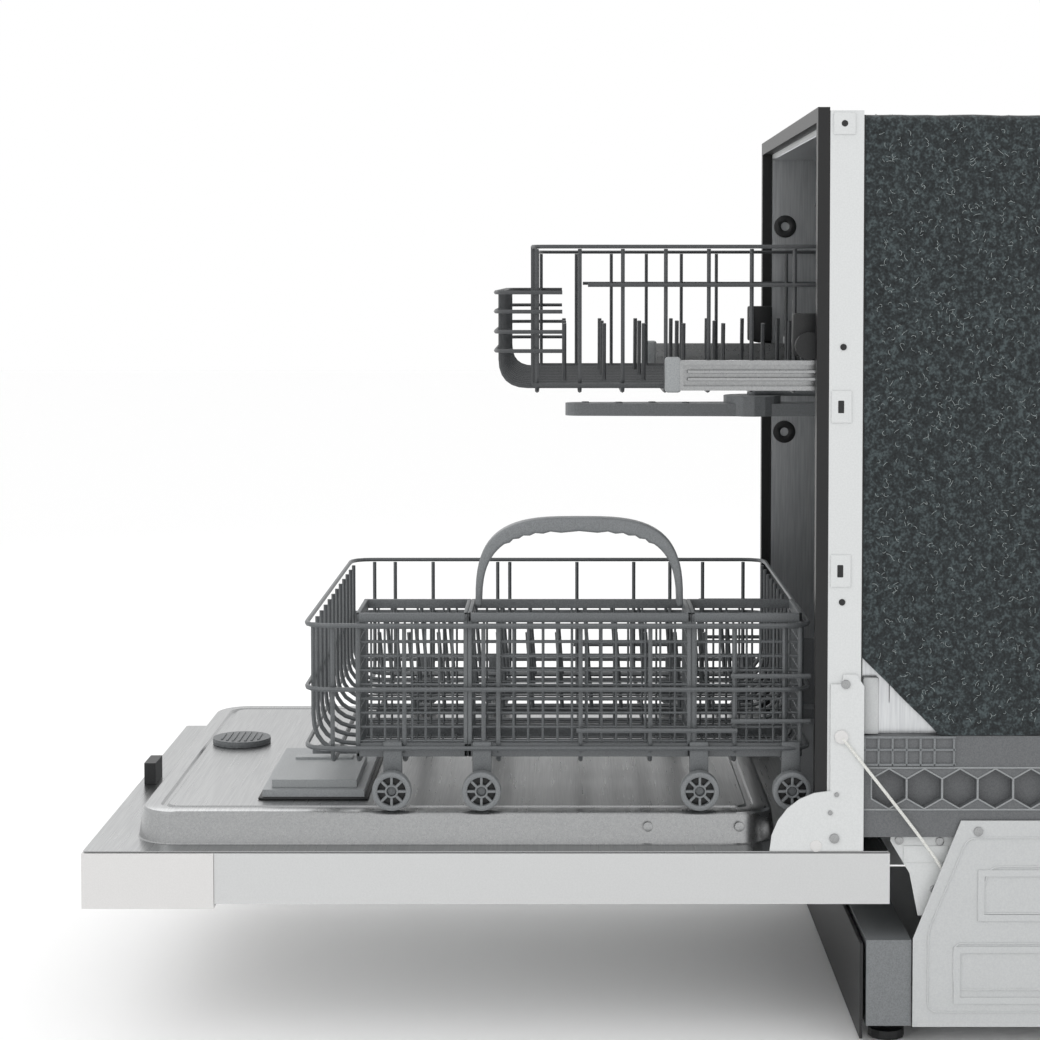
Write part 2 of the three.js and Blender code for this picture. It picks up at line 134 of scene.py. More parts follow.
def bent(points, radius, steps=4):
    # rounds each inner corner of a run of points
    run = [Vector(points[0])]
    for before, corner, after in zip(points, points[1:], points[2:]):
        corner = Vector(corner)
        back = Vector(before) - corner
        ahead = Vector(after) - corner
        reach = min(radius, back.length / 2.1, ahead.length / 2.1)
        start = corner + back.normalized() * reach
        end = corner + ahead.normalized() * reach
        for step in range(steps + 1):
            t = step / steps
            run.append(start * (1 - t) ** 2 + corner * 2 * t * (1 - t) + end * t ** 2)
    run.append(Vector(points[-1]))
    return run


def wires(name, runs, radius, body, material, roundness=1, closed=()):
    curve = bpy.data.curves.new(name, "CURVE")
    curve.dimensions = "3D"
    curve.bevel_depth = radius
    curve.bevel_resolution = roundness
    curve.use_fill_caps = True
    for number, run in enumerate(runs):
        spline = curve.splines.new("POLY")
        spline.points.add(len(run) - 1)
        for place, point in zip(spline.points, run):
            place.co = (*point, 1)
        spline.use_cyclic_u = number in closed
    piece = bpy.data.objects.new(name, curve)
    bpy.context.scene.collection.objects.link(piece)
    only(piece)
    bpy.ops.object.convert(target="MESH")
    return finishPiece(bpy.context.object, name, body, material, 50)


def linear(code):
    channels = [int(code[i:i + 2], 16) / 255 for i in (1, 3, 5)]
    return [c / 12.92 if c <= 0.04045 else ((c + 0.055) / 1.055) ** 2.4 for c in channels] + [1]


def addNode(material, kind, settings=None, links=None):
    tree = material.node_tree
    node = tree.nodes.new(kind)
    for key, value in (settings or {}).items():
        if isinstance(key, int) or key in node.inputs.keys():
            node.inputs[key].default_value = value
        else:
            setattr(node, key, value)
    for key, source in (links or {}).items():
        tree.links.new(source, node.inputs[key])
    return node


def newMaterial(name, colour, roughness, metallic=0.0, **sockets):
    material = bpy.data.materials.new(name)
    material.use_nodes = True
    shader = material.node_tree.nodes["Principled BSDF"]
    shader.inputs["Base Color"].default_value = linear(colour)
    shader.inputs["Roughness"].default_value = roughness
    shader.inputs["Metallic"].default_value = metallic
    for key, value in sockets.items():
        shader.inputs[key].default_value = value
    return material, shader


def texture(material, grain, detail=3, stretch=(1, 1, 1)):
    # a noise whose grain is given in millimetres
    place = addNode(material, "ShaderNodeTexCoord")
    mapping = addNode(material, "ShaderNodeMapping", {"Scale": stretch}, {"Vector": place.outputs["Object"]})
    return addNode(material, "ShaderNodeTexNoise", {"Scale": 1 / (grain * mm), "Detail": detail},
                   {"Vector": mapping.outputs["Vector"]})


def mottled(material, shader, dark, light, grain, bump, low=0.35, high=0.65, stretch=(1, 1, 1), detail=3):
    noise = texture(material, grain, detail, stretch)
    ramp = addNode(material, "ShaderNodeValToRGB", None, {"Fac": noise.outputs["Fac"]})
    ramp.color_ramp.elements[0].position = low
    ramp.color_ramp.elements[0].color = linear(dark)
    ramp.color_ramp.elements[1].position = high
    ramp.color_ramp.elements[1].color = linear(light)
    links = material.node_tree.links
    links.new(ramp.outputs["Color"], shader.inputs["Base Color"])
    relief = addNode(material, "ShaderNodeBump", {"Strength": bump, "Distance": 0.4 * mm},
                     {"Height": noise.outputs["Fac"]})
    links.new(relief.outputs["Normal"], shader.inputs["Normal"])


def roughened(material, shader, low, high, grain, stretch=(1, 1, 1)):
    noise = texture(material, grain, 2, stretch)
    spread = addNode(material, "ShaderNodeMapRange", {"To Min": low, "To Max": high},
                     {"Value": noise.outputs["Fac"]})
    material.node_tree.links.new(spread.outputs["Result"], shader.inputs["Roughness"])


# ---- materials
def brushedStainless():
    # drawn stainless sheet: long fine scratches along the door's width
    material, shader = newMaterial("brushedStainless", "#A6A7A8", 0.28, 1.0)
    mottled(material, shader, "#9C9D9E", "#ABACAC", 1.2, 0.02, 0.3, 0.7, (0.02, 1, 1), 1)
    roughened(material, shader, 0.24, 0.34, 2.0, (0.02, 1, 1))
    return material


def tubStainless():
    # drawn stainless of the tub: paler than the door's, with its grain upright
    material, shader = newMaterial("tubStainless", "#CDCFD0", 0.3, 1.0)
    mottled(material, shader, "#C4C6C8", "#D8DADB", 2.0, 0.04, 0.3, 0.7, (1, 1, 0.05), 2)
    return material


def coatedSteel(name, dark, light, roughness=0.42):
    # powder-coated sheet: a very fine orange peel
    material, shader = newMaterial(name, light, roughness, 0.0)
    mottled(material, shader, dark, light, 1.6, 0.015)
    roughened(material, shader, roughness - 0.06, roughness + 0.08, 6)
    return material


def mouldedPlastic(name, dark, light, roughness=0.5, grain=1.1):
    # moulded plastic: one tone with a fine spark-eroded grain
    material, shader = newMaterial(name, light, roughness, 0.0)
    mottled(material, shader, dark, light, grain, 0.12)
    return material


def recycledFelt():
    # needled felt from recycled fibre: charcoal lumps with paler flecks
    material, shader = newMaterial("recycledFelt", "#3B4446", 0.95, 0.0)
    shader.inputs["Sheen Weight"].default_value = 0.25
    fine = texture(material, 2.2, 6)
    clumps = texture(material, 5, 2)
    height = addNode(material, "ShaderNodeMath", {"operation": "ADD"},
                     {0: fine.outputs["Fac"], 1: clumps.outputs["Fac"]})
    half = addNode(material, "ShaderNodeMath", {"operation": "MULTIPLY", 1: 0.5}, {0: height.outputs["Value"]})
    ramp = addNode(material, "ShaderNodeValToRGB", None, {"Fac": half.outputs["Value"]})
    ramp.color_ramp.elements[0].position = 0.36
    ramp.color_ramp.elements[0].color = linear("#161A1C")
    ramp.color_ramp.elements[1].position = 0.62
    ramp.color_ramp.elements[1].color = linear("#465052")
    middle = ramp.color_ramp.elements.new(0.5)
    middle.color = linear("#272D2F")
    relief = addNode(material, "ShaderNodeBump", {"Strength": 0.9, "Distance": 1.2 * mm},
                     {"Height": half.outputs["Value"]})
    links = material.node_tree.links
    links.new(ramp.outputs["Color"], shader.inputs["Base Color"])
    links.new(relief.outputs["Normal"], shader.inputs["Normal"])
    return material


def braidedCord():
    # braided cord: off-white strands; the greyer colour in the hollows between them is painted shade
    material, shader = newMaterial("braidedCord", "#ECECE8", 0.8, 0.0)
    mottled(material, shader, "#C9C9C4", "#F4F4F0", 0.8, 0.5)
    return material


stainless = brushedStainless()
innerSteel = tubStainless()
# coated sheet: flange and hinge plates palest, side panels greyer, the door between them
flangeSteel = coatedSteel("zincCoatedSteel", "#D2D4D4", "#D8DADA", 0.38)
panelSteel = coatedSteel("panelSteel", "#BFC1C2", "#C6C8C8", 0.42)
doorPaint = coatedSteel("doorPaint", "#C9CACA", "#CDCECE", 0.4)
# plastics: the pale console, the black seal, the dark grey tray and basket, the mid grey arms and rims
consolePlastic = mouldedPlastic("consolePlastic", "#D6D5D4", "#DAD9D8", 0.42)
sealRubber = mouldedPlastic("sealRubber", "#070708", "#101112", 0.42)
trayPlastic = mouldedPlastic("trayPlastic", "#5E6062", "#6C6E70", 0.55)
# near-black plastic for real black parts; also used as painted shade in the flange's holes and slots, the gap
# behind the flange and the wheel webs
darkPlasticAndShade = mouldedPlastic("darkPlasticAndShade", "#131415", "#1F2021", 0.5)
basketPlastic = mouldedPlastic("basketPlastic", "#5A5D5F", "#6C6F71", 0.5)
armPlastic = mouldedPlastic("armPlastic", "#6F7274", "#808385", 0.45)
rimPlastic = mouldedPlastic("rimPlastic", "#8B8E90", "#9C9FA0", 0.42)
dispenserPlastic = mouldedPlastic("dispenserPlastic", "#8A8D8F", "#9DA0A2", 0.4)
# nylon coats of the rack wires: the lower rack grey, the upper one nearly black
lowerWire = mouldedPlastic("lowerWireCoat", "#55585A", "#66696B", 0.4)
upperWire = mouldedPlastic("upperWireCoat", "#3A3C3E", "#4A4C4E", 0.4)
felt = recycledFelt()
cord = braidedCord()
# pale loose fibres on the felt
feltFibre = mouldedPlastic("feltFibre", "#6F7879", "#A9B1B1", 0.8)
railSteel = brushedStainless()
railSteel.name = "railSteel"
print("materials made")

carried = {
    "tub_wrapper": innerSteel, "tub_back": innerSteel, "door_seal": sealRubber, "front_flange": flangeSteel,
    "base_tray": trayPlastic, "side_panel_right": panelSteel, "side_panel_left": panelSteel,
    "hinge_bracket_right": flangeSteel, "hinge_bracket_left": flangeSteel, "hinge_plate_right": flangeSteel,
    "hinge_plate_left": flangeSteel, "bottom_pan": panelSteel, "toe_frame": armPlastic, "toe_kick": darkPlasticAndShade,
    "door_outer_panel": doorPaint, "console": consolePlastic, "door_liner": stainless,
    "dispenser": dispenserPlastic, "detergent_lid": rimPlastic, "rinse_aid_cap": basketPlastic,
    "vent_cap": basketPlastic, "door_latch": darkPlasticAndShade, "button_1": rimPlastic, "button_2": rimPlastic,
    "button_3": rimPlastic, "sump": darkPlasticAndShade, "filter": armPlastic, "heater": railSteel,
    "wash_pump": darkPlasticAndShade, "drain_pump": rimPlastic, "inlet_valve": consolePlastic,
    "lower_spray_arm": armPlastic, "mid_spray_arm": armPlastic, "upper_rail_right": railSteel,
    "upper_rail_left": railSteel, "rack_roller_right": darkPlasticAndShade, "rack_roller_left": darkPlasticAndShade,
    "pulley_right": rimPlastic, "pulley_left": rimPlastic, "balance_spring_right": railSteel,
    "balance_spring_left": railSteel, "balance_cable_right": cord, "balance_cable_left": cord,
    "foot_1": darkPlasticAndShade, "foot_2": darkPlasticAndShade, "foot_3": darkPlasticAndShade, "foot_4": darkPlasticAndShade,
}
for name, material in carried.items():
    nodes[name].data.materials.clear()
    nodes[name].data.materials.append(material)


# ---- stage, light and camera
# metres and degrees; the camera stands beside the door and looks along -X
studio = {"floorSize": 30, "floorDrop": 0.5 * mm, "worldStrength": 1.0, "lampSize": 1.6, "aim": (0, 0, 0.4)}
view = {"distance": 2.4, "beforeSeal": 0.236, "height": 0.7176, "pitch": 2.6, "lens": 79.25, "sensor": 36,
        "shiftX": -0.039, "shiftY": -0.1349}


def stageAndCamera():
    deselect()
    bpy.ops.mesh.primitive_plane_add(size=studio["floorSize"], location=(0, 0, -studio["floorDrop"]))
    floor = bpy.context.object
    floor.name = "studioFloor"
    # matt white floor that only shows the shadow
    floor.data.materials.append(newMaterial("studioFloor", "#FEFEFE", 0.9)[0])
    world = bpy.data.worlds.new("studio")
    bpy.context.scene.world = world
    world.use_nodes = True
    background = world.node_tree.nodes["Background"]
    background.inputs["Color"].default_value = (1, 1, 1, 1)
    background.inputs["Strength"].default_value = studio["worldStrength"]
    # each lamp: where it stands, and its power in watts
    lamps = [("keyLight", (2.2, -2.4, 2.6), 12), ("fillLight", (2.6, 1.8, 1.4), 2),
             ("backLight", (-2.2, -1.4, 2.2), 10)]
    for name, place, power in lamps:
        bpy.ops.object.light_add(type="AREA", location=place)
        lamp = bpy.context.object
        lamp.name = name
        lamp.data.size = studio["lampSize"]
        lamp.data.energy = power
        lamp.rotation_euler = (Vector(studio["aim"]) - Vector(place)).to_track_quat("-Z", "Y").to_euler()
    bpy.ops.object.camera_add(location=(view["distance"], faceY - view["beforeSeal"], view["height"]))
    camera = bpy.context.object
    pitch = math.radians(view["pitch"])
    camera.rotation_euler = (math.radians(90) - pitch, 0, math.radians(90))
    camera.data.lens = view["lens"]
    camera.data.sensor_width = view["sensor"]
    camera.data.shift_x = view["shiftX"]
    camera.data.shift_y = view["shiftY"]
    bpy.context.scene.camera = camera
    bpy.context.scene.view_settings.view_transform = "Standard"


stageAndCamera()
print("stage and camera made")


# ---- felt blanket round the tub
feltSizes = {"skinRoom": 1.5 * mm, "chamfer": 71 * mm, "bevel": 9 * mm, "longestEdge": 14 * mm,
             "lump": 30 * mm, "swell": 2.2 * mm}
fibres = {"count": 3600, "radius": 0.22 * mm, "sink": 0.9 * mm, "edgeRoom": 12 * mm, "bends": 4,
          "shortest": 0.7, "longest": 1.7, "curl": 2.4}     # a bend's length in mm, its curl in radians


def feltBlanket():
    low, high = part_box("insulation")
    thickness = (high.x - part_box("tub_wrapper")[1].x) - feltSizes["skinRoom"]
    chamfer = feltSizes["chamfer"]
    deselect()
    # the open front and bottom run past the box by a bevel's width, and are cut off again
    bevel = feltSizes["bevel"]
    start = low - Vector((-1 * mm, bevel, bevel))
    end = high - Vector((1, 1, 1)) * mm
    bpy.ops.mesh.primitive_cube_add(size=1, location=(start + end) / 2)
    blanket = bpy.context.object
    blanket.scale = end - start
    settle(blanket)
    modify(blanket, "BEVEL", width=bevel, segments=3, limit_method="ANGLE")
    bpy.ops.object.mode_set(mode="EDIT")
    bpy.ops.mesh.select_all(action="DESELECT")
    edit = bmesh.from_edit_mesh(blanket.data)
    openFaces = [f for f in edit.faces if f.calc_center_median().z < low.z + 1 * mm or
                 f.calc_center_median().y < low.y + 1 * mm]
    bmesh.ops.delete(edit, geom=openFaces, context="FACES")
    corner = Vector((0, low.y + chamfer, low.z + 1 * mm))
    slant = Vector((0, -1, -1)).normalized()
    everything = edit.verts[:] + edit.edges[:] + edit.faces[:]
    bmesh.ops.bisect_plane(edit, geom=everything, plane_co=corner, plane_no=slant, clear_outer=True)
    for _ in range(6):
        long = [e for e in edit.edges if e.calc_length() > feltSizes["longestEdge"]]
        if not long:
            break
        bmesh.ops.subdivide_edges(edit, edges=long, cuts=1, use_grid_fill=True)
    bmesh.ops.triangulate(edit, faces=edit.faces[:])
    bmesh.update_edit_mesh(blanket.data)
    bpy.ops.object.mode_set(mode="OBJECT")
    modify(blanket, "SOLIDIFY", thickness=thickness, offset=-1)
    lumps = bpy.data.textures.new("feltLumps", "CLOUDS")
    lumps.noise_scale = feltSizes["lump"]
    modify(blanket, "DISPLACE", texture=lumps, strength=feltSizes["swell"], mid_level=0.75,
           texture_coords="LOCAL")
    finishPiece(blanket, "felt_blanket", "tub", felt, 80)
    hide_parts("insulation")
    looseFibres(low, high, chamfer)


def looseFibres(low, high, chamfer):
    # every sixth fibre lies on the roof, the others on the two sides
    runs = []
    edgeRoom, sink = fibres["edgeRoom"], fibres["sink"]
    for number in range(fibres["count"]):
        onTop = number % 6 == 0
        side = 1 if number % 3 else -1
        y = random.uniform(low.y + edgeRoom, high.y - edgeRoom)
        if onTop:
            centre = Vector((random.uniform(low.x + edgeRoom, high.x - edgeRoom), y, high.z - sink))
            across, up = Vector((1, 0, 0)), Vector((0, 1, 0))
            out = Vector((0, 0, 1))
        else:
            z = random.uniform(low.z + edgeRoom, high.z - edgeRoom)
            if (y - low.y) + (z - low.z) < chamfer + edgeRoom:
                continue
            centre = Vector((side * (high.x - sink), y, z))
            across, up = Vector((0, 1, 0)), Vector((0, 0, 1))
            out = Vector((side, 0, 0))
        heading = random.uniform(0, 2 * math.pi)
        curl = random.uniform(-fibres["curl"], fibres["curl"])
        reach = random.uniform(fibres["shortest"], fibres["longest"]) * mm
        point = centre.copy()
        run = [point.copy()]
        for _ in range(fibres["bends"]):
            heading += curl * 0.4
            point = point + (across * math.cos(heading) + up * math.sin(heading)) * reach
            run.append(point + out * random.uniform(-0.2, 0.5) * mm)
        runs.append(run)
    wires("felt_fibres", runs, fibres["radius"], "tub", feltFibre, roundness=0)


feltBlanket()
print("felt made")


# ---- lower rack
rackWire = {"radius": 2.3 * mm, "pitch": 40 * mm,
            "uprights": (-452, -428, -384, -309, -295, -217, -151, -109, -71, -24)}   # mm from the seal


def stations(start, end, pitch):
    count = max(1, round((end - start) / pitch))
    return [start + (end - start) * i / count for i in range(count + 1)]


def lowerRack():
    low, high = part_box("lower_rack")
    r = rackWire["radius"]
    x0, x1, y0, y1 = low.x + r, high.x - r, low.y + r, high.y - r
    top, bottom = high.z - r, low.z + r
    lowLoop, middleLoop = bottom + 15 * mm, bottom + 71 * mm
    runs, closed = [], []
    for z in (top, middleLoop, lowLoop):
        start = (x0, (y0 + y1) / 2, z)
        loop = [start, (x0, y0, z), (x1, y0, z), (x1, y1, z), (x0, y1, z), start]
        closed.append(len(runs))
        runs.append(bent(loop, 26 * mm)[:-1])
    inner = 2 * r
    # short bars along the two long sides: height, front and rear end
    for z, start, end in ((288, -221, -69), (340, -75, 0), (297, -75, 0)):
        for x in (x0 - r, x1 + r):
            runs.append([Vector((x * 0.995, faceY + y * mm, z * mm)) for y in (start, end)])
    for y in (faceY + station * mm for station in rackWire["uprights"]):
        runs.append(bent([(x0 + inner, y, top - r), (x0 + inner, y, bottom), (x1 - inner, y, bottom),
                          (x1 - inner, y, top - r)], 20 * mm))
    for x in stations(x0 + 36 * mm, x1 - 36 * mm, rackWire["pitch"]):
        runs.append(bent([(x, y0 + inner, top - r), (x, y0 + inner, bottom + 2 * r),
                          (x, y1 - inner, bottom + 2 * r), (x, y1 - inner, top - r)], 36 * mm, 6))
    # three rows of leaning plate tines on the left, each on a bar of its own
    for x in (x0 + 70 * mm, x0 + 175 * mm, x0 + 280 * mm):
        runs.append([Vector((x, y0 + 50 * mm, bottom + 4 * r)), Vector((x, y1 - 40 * mm, bottom + 4 * r))])
        for y in stations(y0 + 60 * mm, y1 - 50 * mm, 30 * mm):
            runs.append([Vector((x, y, bottom + 4 * r)), Vector((x + 10 * mm, y - 6 * mm, bottom + 92 * mm))])
    rack = wires("lower_rack_wires", runs, r, "lower_rack", lowerWire, 1, closed)
    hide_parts("lower_rack")
    # axle holders that carry the wheels
    holders = []
    for number in range(1, 5):
        for side, sign in sides.items():
            wheelLow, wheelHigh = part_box(f"rack_wheel_{number}_{side}")
            middle = (wheelLow + wheelHigh) / 2
            inside = x1 * sign
            lowX, highX = sorted((inside - sign * 5 * mm, inside))
            holders.append(block("holder", (lowX, middle.y - 9 * mm, middle.z - 5 * mm),
                                 (highX, middle.y + 9 * mm, lowLoop + 6 * mm), "lower_rack", basketPlastic,
                                 1.6))
            holders.append(disc("axle", (inside + sign * 5 * mm, middle.y, middle.z), 4.2 * mm, 15 * mm, "X",
                                "lower_rack", basketPlastic, sides=16))
    joined(holders, "wheel_holders", "lower_rack", basketPlastic)


wheelSizes = {"rim": 5.2 * mm, "hub": 6.4 * mm, "bore": 4.6 * mm, "web": 2 * mm, "spokes": 8,
              "spokeFrom": 5.6 * mm, "spokeHalf": 1.2 * mm}


def rackWheels():
    for number in range(1, 5):
        for side in sides:
            name = f"rack_wheel_{number}_{side}"
            low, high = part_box(name)
            middle = (low + high) / 2
            radius = (high.z - low.z) / 2
            width = high.x - low.x
            body = f"wheels_{number}"
            tyre = disc("tyre", middle, radius, width, "X", body, rimPlastic, 1.6, 40,
                        inner=radius - wheelSizes["rim"])
            hub = disc("hub", middle, wheelSizes["hub"], width - 1 * mm, "X", body, rimPlastic, 0.8, 24,
                       inner=wheelSizes["bore"])
            web = disc("web", middle, radius - 4.8 * mm, wheelSizes["web"], "X", body, basketPlastic, 0.3, 32,
                       inner=4.7 * mm)
            spokes = []
            for turn in range(wheelSizes["spokes"]):
                angle = turn * math.pi / 4
                thin, reach = wheelSizes["spokeHalf"], width * 0.42
                spoke = block("spoke", (-reach, wheelSizes["spokeFrom"], -thin),
                              (reach, radius - 4.6 * mm, thin), body, rimPlastic, 0.4)
                spoke.data.transform(Matrix.Translation(middle) @ Matrix.Rotation(angle, 4, "X"))
                spokes.append(spoke)
            wheel = joined([tyre, hub] + spokes, f"wheel_{number}_{side}", body, armPlastic)
            # the web is given near-black plastic, unlike the grey wheel: painted shade in the recess between
            # the spokes
            finishPiece(web, f"wheel_web_shade_{number}_{side}", body, darkPlasticAndShade)
            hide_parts(name)


lowerRack()
rackWheels()
print("lower rack made")


# ---- cutlery basket
basket = {"bar": 2.2 * mm, "mesh": 13.5 * mm, "rim": 9 * mm}


def lattice(name, centre, width, height, turn):
    deselect()
    bpy.ops.mesh.primitive_grid_add(x_subdivisions=max(2, round(width / basket["mesh"])),
                                    y_subdivisions=max(2, round(height / basket["mesh"])), size=1)
    panel = bpy.context.object
    panel.scale = (width, height, 1)
    settle(panel)
    modify(panel, "WIREFRAME", thickness=basket["bar"], use_even_offset=True, use_boundary=True)
    panel.data.transform(Matrix.Translation(centre) @ turn)
    panel.name = name
    return panel


def cutleryBasket():
    low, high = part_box("cutlery_basket")
    bar = basket["bar"]
    facingX = Matrix.Rotation(math.radians(90), 4, "Z") @ Matrix.Rotation(math.radians(90), 4, "X")
    facingY = Matrix.Rotation(math.radians(90), 4, "X")
    flat = Matrix.Identity(4)
    middle = (low + high) / 2
    length, depth, height = high.y - low.y, high.x - low.x, high.z - low.z
    splits = [low.y + bar, low.y + 0.253 * length, low.y + 0.749 * length, high.y - bar]
    panels = []
    for start, end in zip(splits, splits[1:]):
        centreY = (start + end) / 2
        span = end - start - 3 * mm
        for x in (low.x + 1.2 * bar, high.x - 1.2 * bar):
            panels.append(lattice("side", Vector((x, centreY, middle.z)), span, height - 2 * mm, facingX))
        for y in (start + 1.5 * mm, end - 1.5 * mm):
            panels.append(lattice("end", Vector((middle.x, y, middle.z)), depth - 3 * bar, height - 2 * mm,
                                  facingY))
        panels.append(lattice("bottom", Vector((middle.x, centreY, low.z + 1.2 * bar)), depth - 3 * bar, span,
                              flat))
    joined(panels, "basket_grid", "basket", basketPlastic, 30)
    frames = []
    for start, end in zip(splits, splits[1:]):
        for z0, z1 in ((high.z - basket["rim"], high.z), (low.z, low.z + 13 * mm)):
            for x0, x1 in ((low.x, low.x + 4 * mm), (high.x - 4 * mm, high.x)):
                frames.append(block("rim", (x0, start, z0), (x1, end, z1), "basket", basketPlastic, 1))
        for y0, y1 in ((start, start + 4 * mm), (end - 4 * mm, end)):
            frames.append(block("rim", (low.x, y0, high.z - basket["rim"]), (high.x, y1, high.z), "basket",
                                basketPlastic, 1))
            for x0, x1 in ((low.x, low.x + 5 * mm), (high.x - 5 * mm, high.x)):
                frames.append(block("post", (x0, y0, low.z), (x1, y1, high.z), "basket", basketPlastic, 1))
    grid = joined(frames, "basket_frame", "basket", basketPlastic)
    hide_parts("cutlery_basket")


def basketHandle():
    low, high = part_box("basket_handle")
    middle = (low + high) / 2
    half = (high.y - low.y) / 2
    rise = high.z - low.z
    rings = 40
    deselect()
    bpy.ops.mesh.primitive_cube_add(size=1)
    handle = bpy.context.object
    edit = bmesh.new()
    previous = None
    for step in range(rings + 1):
        angle = math.pi * step / rings
        cosine, sine = math.cos(angle), math.sin(angle)
        # a squarish arch: flatter on top than an ellipse
        thick = (6 + 7 * sine) * mm
        flatY = math.copysign(abs(cosine) ** 0.62, cosine)
        flatZ = abs(sine) ** 0.62
        outer = Vector((0, middle.y - flatY * half, low.z + flatZ * rise))
        inner = Vector((0, middle.y - flatY * (half - thick), low.z + flatZ * (rise - thick)))
        if 9 < step < rings - 9 and step % 2:
            inner = inner + (inner - outer).normalized() * 1.6 * mm
        ring = [edit.verts.new(p + Vector((x, 0, 0))) for p, x in
                ((outer, low.x), (outer, high.x), (inner, high.x), (inner, low.x))]
        if previous:
            for i in range(4):
                edit.faces.new((previous[i], previous[(i + 1) % 4], ring[(i + 1) % 4], ring[i]))
        else:
            edit.faces.new(ring)
        previous = ring
    edit.faces.new(list(reversed(previous)))
    bmesh.ops.recalc_face_normals(edit, faces=edit.faces[:])
    edit.to_mesh(handle.data)
    edit.free()
    modify(handle, "BEVEL", width=3 * mm, segments=3, limit_method="ANGLE", angle_limit=math.radians(60))
    finishPiece(handle, "basket_handle_grip", "basket", armPlastic, 40)
    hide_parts("basket_handle")


cutleryBasket()
basketHandle()
print("cutlery basket made")


# ---- upper rack
def upperRack():
    low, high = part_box("upper_rack")
    r = 2.1 * mm
    x0, x1, y0, y1 = low.x + r, high.x - r, low.y + r, high.y - r
    step = 35 * mm
    back = y0 + step
    top, bottom = high.z - r, low.z + r
    shelf = top - 43 * mm
    runs, closed = [], []
    start = (x0, y1 / 2, top)
    ring = [start, (x0, back, top), (x1, back, top), (x1, y1, top), (x0, y1, top), start]
    closed.append(len(runs))
    runs.append(bent(ring, 20 * mm)[:-1])
    for z in (shelf, shelf - 18 * mm, shelf - 37 * mm, shelf - 55 * mm):
        runs.append(bent([(x0, back + 28 * mm, z), (x0, y0, z), (x1, y0, z), (x1, back + 28 * mm, z)], 22 * mm))
    for z, start in ((top - 36 * mm, back + 52 * mm), (bottom + 6 * mm, back)):
        for x in (x0, x1):
            runs.append([Vector((x, start, z)), Vector((x, y1, z))])
    inner = 2 * r
    for y in stations(back + 4 * mm, y1 - 4 * mm, rackWire["pitch"]):
        runs.append(bent([(x0 + inner, y, top - r), (x0 + inner, y, bottom), (x1 - inner, y, bottom),
                          (x1 - inner, y, top - r)], 14 * mm))
    for x in stations(x0 + 20 * mm, x1 - 20 * mm, rackWire["pitch"]):
        runs.append(bent([(x, y0 + inner, shelf), (x, y0 + inner, bottom + 2 * r),
                          (x, y1 - inner, bottom + 2 * r), (x, y1 - inner, top - r)], 26 * mm, 6))
        runs.append([Vector((x, back, top)), Vector((x, back, bottom + 2 * r))])
    for x in (x0 + 120 * mm, x0 + 250 * mm, x0 + 380 * mm):
        for y in stations(back + 30 * mm, y1 - 30 * mm, 40 * mm):
            runs.append([Vector((x, y, bottom + 2 * r)), Vector((x + 8 * mm, y, bottom + 62 * mm))])
    rack = wires("upper_rack_wires", runs, r, "upper_rack", upperWire, 1, closed)
    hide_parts("upper_rack")
    # roller brackets and the water feed tube under the rack
    parts = []
    for side, sign in sides.items():
        rollerLow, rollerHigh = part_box("rack_roller_" + side)
        inside = x1 * sign
        reach = rollerLow.x if sign > 0 else rollerHigh.x
        lowX, highX = sorted((inside, reach - sign * 1 * mm))
        middle = (rollerLow + rollerHigh) / 2
        parts.append(block("bracket", (lowX, middle.y - 14 * mm, middle.z - 10 * mm),
                           (highX, middle.y + 14 * mm, middle.z + 30 * mm), "upper_rack", darkPlasticAndShade, 2))
    joined(parts, "roller_brackets", "upper_rack", darkPlasticAndShade)
    armLow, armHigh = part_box("mid_spray_arm")
    hub = (armLow + armHigh) / 2
    tube = bent([(0, hub.y, armHigh.z - 8 * mm), (0, hub.y, armHigh.z + 5 * mm),
                 (0, y1 + 40 * mm, armHigh.z + 5 * mm)], 12 * mm)
    wires("feed_tube", [tube], 6 * mm, "upper_rack", armPlastic, 3)


def railDetails():
    for side, sign in sides.items():
        low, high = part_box("upper_rail_" + side)
        lowX, highX = low.x - 0.8 * mm, high.x + 0.8 * mm
        block("rail_end_" + side, (lowX, low.y - 5 * mm, low.z - 2 * mm),
              (highX, low.y + 10 * mm, high.z + 3 * mm), "rails", rimPlastic, 3, 3)
        web = sorted((0, sign * 6 * mm))
        middle = (low.x + high.x) / 2
        ribs = [block("rib", (middle + web[0] - 2 * mm, low.y + 16 * mm, low.z + dz * mm),
                      (middle + web[1] - 2 * mm * (sign > 0), high.y - 10 * mm, low.z + (dz + 3) * mm), "rails",
                      railSteel, 0.8) for dz in (9, 16)]
        joined(ribs, "rail_ribs_" + side, "rails", railSteel)


def sprayNozzles():
    for node, body in (("mid_spray_arm", "mid_arm"), ("lower_spray_arm", "lower_arm")):
        low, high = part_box(node)
        middle = (low.y + high.y) / 2
        half = (high.y - low.y) / 2
        parts = []
        for number in range(-5, 6):
            if abs(number) < 2:
                continue
            y = middle + number * half / 5.6
            place = (3 * mm * (-1) ** number, y, high.z - 8 * mm)
            parts.append(disc("nozzle", place, 4 * mm, 2.4 * mm, "Z", body, armPlastic, 0.5, 16,
                              inner=1.4 * mm))
        joined(parts, node + "_nozzles", body, armPlastic)


upperRack()
railDetails()
sprayNozzles()
print("upper rack made")


# ---- the door's inner liner: one pressed sheet with a raised field
liner = {"rise": 30 * mm, "besideDispenser": 56 * mm, "frontMargin": 39.6 * mm, "rearMargin": 30 * mm,
         "wallSlope": 7 * mm, "corner": 42 * mm, "groove": 2.2 * mm, "grooveIn": 15 * mm, "sheet": 1.2 * mm}


